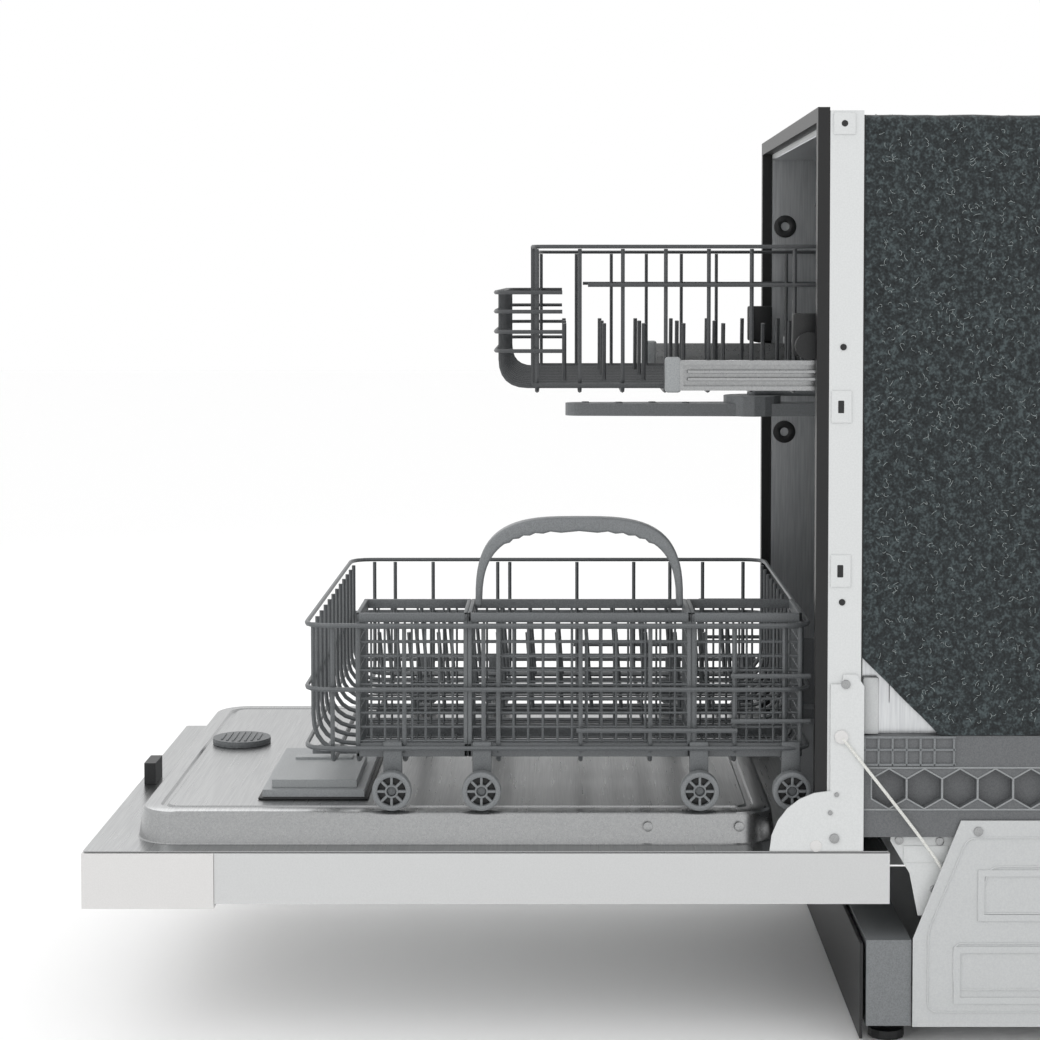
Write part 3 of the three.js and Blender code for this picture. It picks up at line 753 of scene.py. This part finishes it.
def roundedRing(edit, x0, x1, y0, y1, radius, z, perCorner=10):
    ring = []
    corners = [(x1 - radius, y1 - radius, 0), (x0 + radius, y1 - radius, 90), (x0 + radius, y0 + radius, 180),
               (x1 - radius, y0 + radius, 270)]
    for cx, cy, start in corners:
        for step in range(perCorner + 1):
            angle = math.radians(start + 90 * step / perCorner)
            ring.append(edit.verts.new((cx + radius * math.cos(angle), cy + radius * math.sin(angle), z)))
    return ring


def doorLiner():
    low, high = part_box("door_liner")
    base = high.z - liner["rise"]
    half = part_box("dispenser")[1].x + liner["besideDispenser"]
    front, rear = low.y + liner["frontMargin"], faceY - liner["rearMargin"]
    slope, corner = liner["wallSlope"], liner["corner"]
    top = high.z
    # inset from the raised field's foot, and height
    steps = [(0, base), (1.2 * mm, base + 1 * mm), (slope - 2 * mm, top - 3 * mm), (slope, top - 0.8 * mm),
             (slope + 2.5 * mm, top), (slope + liner["grooveIn"], top),
             (slope + liner["grooveIn"] + 2 * mm, top - liner["groove"]),
             (slope + liner["grooveIn"] + 6 * mm, top - liner["groove"]),
             (slope + liner["grooveIn"] + 8 * mm, top)]
    edit = bmesh.new()
    rings = [roundedRing(edit, low.x, high.x, low.y, high.y, 3 * mm, base),
             roundedRing(edit, -half - 4 * mm, half + 4 * mm, front - 4 * mm, rear + 4 * mm, corner + 4 * mm,
                         base)]
    for inset, z in steps:
        rings.append(roundedRing(edit, -half + inset, half - inset, front + inset, rear - inset,
                                 max(4 * mm, corner - inset), z))
    for lower, upper in zip(rings, rings[1:]):
        for i in range(len(lower)):
            j = (i + 1) % len(lower)
            edit.faces.new((lower[i], lower[j], upper[j], upper[i]))
    edit.faces.new(rings[-1])
    bmesh.ops.recalc_face_normals(edit, faces=edit.faces[:])
    deselect()
    bpy.ops.mesh.primitive_plane_add(size=1)
    sheet = bpy.context.object
    edit.to_mesh(sheet.data)
    edit.free()
    if sum(f.normal.z for f in sheet.data.polygons) < 0:
        sheet.data.flip_normals()
    modify(sheet, "SOLIDIFY", thickness=liner["sheet"], offset=-1)
    finishPiece(sheet, "pressed_liner", "door", stainless, 30)
    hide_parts("door_liner")


doorLiner()
print("liner made")


# ---- balance cords: they hang from the hinge plates and run down to the pulleys
def balanceCords():
    for side, sign in sides.items():
        low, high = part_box("balance_cable_" + side)
        plateX = (high.x if sign > 0 else low.x) - sign * 1.2 * mm
        inner = (low.x if sign > 0 else high.x) + sign * 1.2 * mm
        anchor = Vector((plateX, faceY + 25 * mm, 290 * mm))
        pulley = Vector((inner, faceY + 122 * mm, 162 * mm))
        run = bent([anchor, (plateX, faceY + 74 * mm, 228 * mm),
                    (plateX - sign * 3.4 * mm, faceY + 100 * mm, 194 * mm), pulley], 20 * mm, 8)
        cable = wires("balance_cord_" + side, [run], 1.5 * mm, None, cord, 2)
        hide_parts("balance_cable_" + side)
        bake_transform(cable)


balanceCords()


# ---- inside of the tub
# mm: depths behind the seal and heights above the floor
tubBeads = {"uprights": (70, 95, 120, 300, 325, 350, 500), "from": 320, "to": 560, "level": (592, 660, 800),
            "back": (-200, -120, -40, 40, 120, 200), "backFrom": 330, "backTo": 800, "radius": 2 * mm}


def tubInside():
    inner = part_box("tub_wrapper")[1].x - 1.5 * mm
    for side, sign in sides.items():
        beads = []
        for y in tubBeads["uprights"]:
            beads.append([Vector((sign * inner, faceY + y * mm, z * mm))
                          for z in (tubBeads["from"], tubBeads["to"])])
        for z in tubBeads["level"]:
            beads.append([Vector((sign * inner, faceY + y * mm, z * mm)) for y in (60, 540)])
        wires("wall_beads_" + side, beads, tubBeads["radius"], "tub", innerSteel, 1)
        guides = []
        for z in (775, 535):
            place = (sign * (inner - 3 * mm), faceY + 26 * mm, z * mm)
            guides.append(disc("guide", place, 13 * mm, 6 * mm, "X", "tub", darkPlasticAndShade, 1.5, 32, inner=5 * mm))
        joined(guides, "rail_stops_" + side, "tub", darkPlasticAndShade)
        railLow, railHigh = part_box("upper_rail_" + side)
        wallSide = sorted((sign * inner, sign * (inner - 2.6 * mm)))
        holders = [block("holder", (wallSide[0], faceY + y * mm, railLow.z - 3 * mm),
                         (wallSide[1], faceY + (y + 34) * mm, railHigh.z + 8 * mm), "tub", railSteel, 1)
                   for y in (24, 300)]
        joined(holders, "rail_holders_" + side, "tub", railSteel)
    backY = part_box("tub_back")[0].y
    beads = [[Vector((x * mm, backY, z * mm)) for z in (tubBeads["backFrom"], tubBeads["backTo"])]
             for x in tubBeads["back"]]
    wires("back_beads", beads, tubBeads["radius"], "tub", innerSteel, 1)
    for side, sign in sides.items():
        lowX, highX = sorted((sign * (inner + 3 * mm), sign * (inner + 9 * mm)))
        block("tub_strap_" + side, (lowX, faceY + 45 * mm, 291.4 * mm),
              (highX, faceY + 60 * mm, 345 * mm), "tub", panelSteel, 2)


tubInside()
print("cords and tub inside made")


# ---- door details
def screw(name, centre, axis, radius, body):
    return disc(name, centre, radius, 2.4 * mm, axis, body, railSteel, 0.7, 24)


def doorDetails():
    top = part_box("door_liner")[1].z
    ventLow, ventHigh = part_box("vent_cap")
    centre = (ventLow + ventHigh) / 2
    radius = (ventHigh.x - ventLow.x) / 2
    disc("vent_ring", (centre.x, centre.y, top + 3.2 * mm), radius, 6 * mm, "Z", "door", basketPlastic, 1.6, 48,
         inner=radius - 7 * mm)
    slats = []
    pitch = 6.5 * mm
    for number in range(-3, 4):
        y = centre.y + number * pitch
        reach = math.sqrt(max(0, (radius - 6 * mm) ** 2 - (number * pitch) ** 2))
        slats.append(block("slat", (centre.x - reach, y - 1.2 * mm, top + 3 * mm),
                           (centre.x + reach, y + 1.2 * mm, top + 7.4 * mm), "door", basketPlastic, 0.5))
    joined(slats, "vent_slats", "door", basketPlastic)
    sideX = 272 * mm
    screws = [screw("screw", (sideX + 0.6 * mm, faceY + y * mm, top - 13 * mm), "X", 4.6 * mm, "door")
              for y in (-154, -68)]
    joined(screws, "liner_screws", "door", railSteel)
    dispLow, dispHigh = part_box("dispenser")
    block("dispenser_seat", (dispLow.x - 2 * mm, dispLow.y - 4 * mm, top),
          (dispHigh.x + 3 * mm, dispHigh.y + 4 * mm, top + 2.4 * mm), "door", darkPlasticAndShade, 1)
    lidLow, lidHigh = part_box("detergent_lid")
    block("lid_grip", (lidLow.x + 10 * mm, lidLow.y + 12 * mm, lidHigh.z - 1 * mm),
          (lidLow.x + 26 * mm, lidHigh.y - 12 * mm, lidHigh.z + 2.5 * mm), "lid", rimPlastic, 1)


# mm: each screw's depth behind the seal, height and head radius
hingeScrews = ((28, 340, 4.2), (18, 196, 4.6), (20, 237, 2.2), (14, 220, 2.2))


def hingeDetails():
    for side, sign in sides.items():
        low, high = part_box("hinge_plate_" + side)
        outer = high.x if sign > 0 else low.x
        face = outer + sign * 0.6 * mm
        parts = [screw("screw", (face, faceY + y * mm, z * mm), "X", r * mm, "door")
                 for y, z, r in hingeScrews]
        joined(parts, "hinge_screws_" + side, "door", railSteel)
        disc("hinge_pin_" + side, (outer - sign * 1.0 * mm, faceY + 1 * mm, 189 * mm), 5.6 * mm, 4 * mm, "X",
             "tub", consolePlastic, 1, 24)
        disc("cable_anchor_" + side, (outer + sign * 1.2 * mm, faceY + 24 * mm, 291 * mm), 6.4 * mm, 2.6 * mm,
             "X", "door", consolePlastic, 0.8, 24)


flangeMarks = {"slots": (445, 597), "holes": (416, 652), "holeRadius": 3 * mm}     # heights in mm


def flangeDetails():
    low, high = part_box("front_flange")
    for side, sign in sides.items():
        outer = high.x * sign
        lowX, highX = sorted((outer - sign * 0.4 * mm, outer + sign * 1.6 * mm))
        parts = []
        for z in flangeMarks["slots"]:
            parts.append(block("boss", (lowX, low.y + 2 * mm, (z - 15) * mm),
                               (highX, low.y + 21 * mm, (z + 15) * mm), "tub", flangeSteel, 5, 4))
        parts.append(block("tab", (lowX, low.y + 3 * mm, high.z - 22 * mm),
                           (highX, low.y + 23 * mm, high.z - 2 * mm), "tub", flangeSteel, 0.6))
        joined(parts, "flange_bosses_" + side, "tub", flangeSteel)
        slotX = sorted((outer, outer + sign * 2.0 * mm))
        # the slots and holes are not cut: near-black pieces on the flange are painted shade standing for their
        # shaded insides
        marks = [block("slot", (slotX[0], low.y + 8 * mm, (z - 6) * mm),
                       (slotX[1], low.y + 14 * mm, (z + 6) * mm), "tub", darkPlasticAndShade, 2.8, 4)
                 for z in flangeMarks["slots"]]
        holeRadius, holeY = flangeMarks["holeRadius"], low.y + 13 * mm
        marks += [disc("hole", (outer + sign * 0.2 * mm, holeY, z * mm), holeRadius, 1.2 * mm, "X", "tub",
                       darkPlasticAndShade, 0.2, 20) for z in flangeMarks["holes"]]
        marks.append(disc("hole", (outer + sign * 1.4 * mm, holeY, high.z - 12 * mm), holeRadius, 1.2 * mm, "X",
                          "tub", darkPlasticAndShade, 0.2, 20))
        joined(marks, "flange_holes_" + side, "tub", darkPlasticAndShade)
        # a thin near-black strip just behind the flange's side: painted shade in the gap between the flange and
        # the felt
        shadeX = sorted((outer - sign * 2.4 * mm, outer - sign * 0.6 * mm))
        block("flange_gap_shade_" + side, (shadeX[0], high.y + 0.1 * mm, 292 * mm),
              (shadeX[1], high.y + 1.3 * mm, high.z - 4 * mm), "tub", darkPlasticAndShade, 0.3)


hexRow = {"count": 15, "first": 69, "pitch": 33, "radius": 18.8, "z": 241.5, "rail": 19.6}   # mm
# mm: corners of the panel's embossed outlines, as depth behind the seal and height
panelOutlines = (((163, 169), (572, 169), (572, 125), (150, 125)),
                 ((130, 97), (572, 97), (572, 53), (130, 53)),
                 ((142, 196), (580, 196), (580, 32), (106, 32), (106, 108)))
ribGrid = {"level": (263, 277, 288.6), "uprights": (45, 58, 71, 84, 97, 110, 128), "width": 2.2}   # mm


def baseDetails():
    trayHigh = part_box("base_tray")[1]
    for side, sign in sides.items():
        outer = trayHigh.x * sign
        # one row of hexagon ribs, drawn as raised edges round the tray's pockets
        edges, closedRuns = [], []
        for number in range(hexRow["count"]):
            y = faceY + (hexRow["first"] + number * hexRow["pitch"]) * mm
            edges.append([Vector((outer + sign * 0.3 * mm,
                                  y + hexRow["radius"] * mm * math.sin(math.pi / 3 * i),
                                  (hexRow["z"] + hexRow["radius"] * math.cos(math.pi / 3 * i)) * mm))
                          for i in range(6)])
            closedRuns.append(number)
        for z in (hexRow["z"] - hexRow["rail"], hexRow["z"] + hexRow["rail"]):
            edges.append([Vector((outer + sign * 0.3 * mm, faceY + y * mm, z * mm)) for y in (46, 583)])
        wires("hexagon_ribs_" + side, edges, 0.9 * mm, "tub", rimPlastic, 1, closedRuns)
        # embossed outlines on the side panel
        panelX = (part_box("side_panel_right")[1].x - 0.9 * mm) * sign
        outlines = []
        for corners in panelOutlines:
            loop = [(panelX, faceY + y * mm, z * mm) for y, z in corners]
            middle = [(a + b) / 2 for a, b in zip(loop[0], loop[1])]
            outlines.append(bent([middle] + loop[1:] + loop[:1] + [middle], 9 * mm)[:-1])
        wires("panel_outlines_" + side, outlines, 0.8 * mm, "tub", panelSteel, 1, (0, 1, 2))
        lowX, highX = sorted((outer - sign * 2 * mm, outer + sign * 2 * mm))
        thin = ribGrid["width"]
        ribs = [block("rib", (lowX, faceY + 45 * mm, z * mm), (highX, faceY + 131 * mm, (z + thin) * mm), "tub",
                      rimPlastic, 0.5) for z in ribGrid["level"]]
        ribs += [block("rib", (lowX, faceY + y * mm, 263 * mm), (highX, faceY + (y + thin) * mm, 290 * mm),
                       "tub", rimPlastic, 0.5) for y in ribGrid["uprights"]]
        joined(ribs, "rib_grid_" + side, "tub", armPlastic)
        panelLow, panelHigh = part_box("side_panel_" + side)
        face = (panelHigh.x if sign > 0 else panelLow.x) - sign * 1.0 * mm
        screw("panel_screw_" + side, (face, faceY + 152 * mm, 202 * mm), "X", 4.4 * mm, "tub")
        bracketLow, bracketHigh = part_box("hinge_bracket_" + side)
        face = (bracketHigh.x if sign > 0 else bracketLow.x) + sign * 0.6 * mm
        heads = [screw("screw", (face, faceY + y * mm, z * mm), "X", 4.0 * mm, "tub")
                 for y, z in ((80, 191), (118, 190), (113, 145))]
        joined(heads, "bracket_screws_" + side, "tub", railSteel)
        plate = sorted((face - sign * 0.8 * mm, face + sign * 0.5 * mm))
        block("bracket_emboss_" + side, (plate[0], faceY + 84 * mm, 170 * mm),
              (plate[1], faceY + 126 * mm, 186 * mm), "tub", flangeSteel, 0.6)


doorDetails()
hingeDetails()
flangeDetails()
baseDetails()
print("door, hinges, flange and base made")
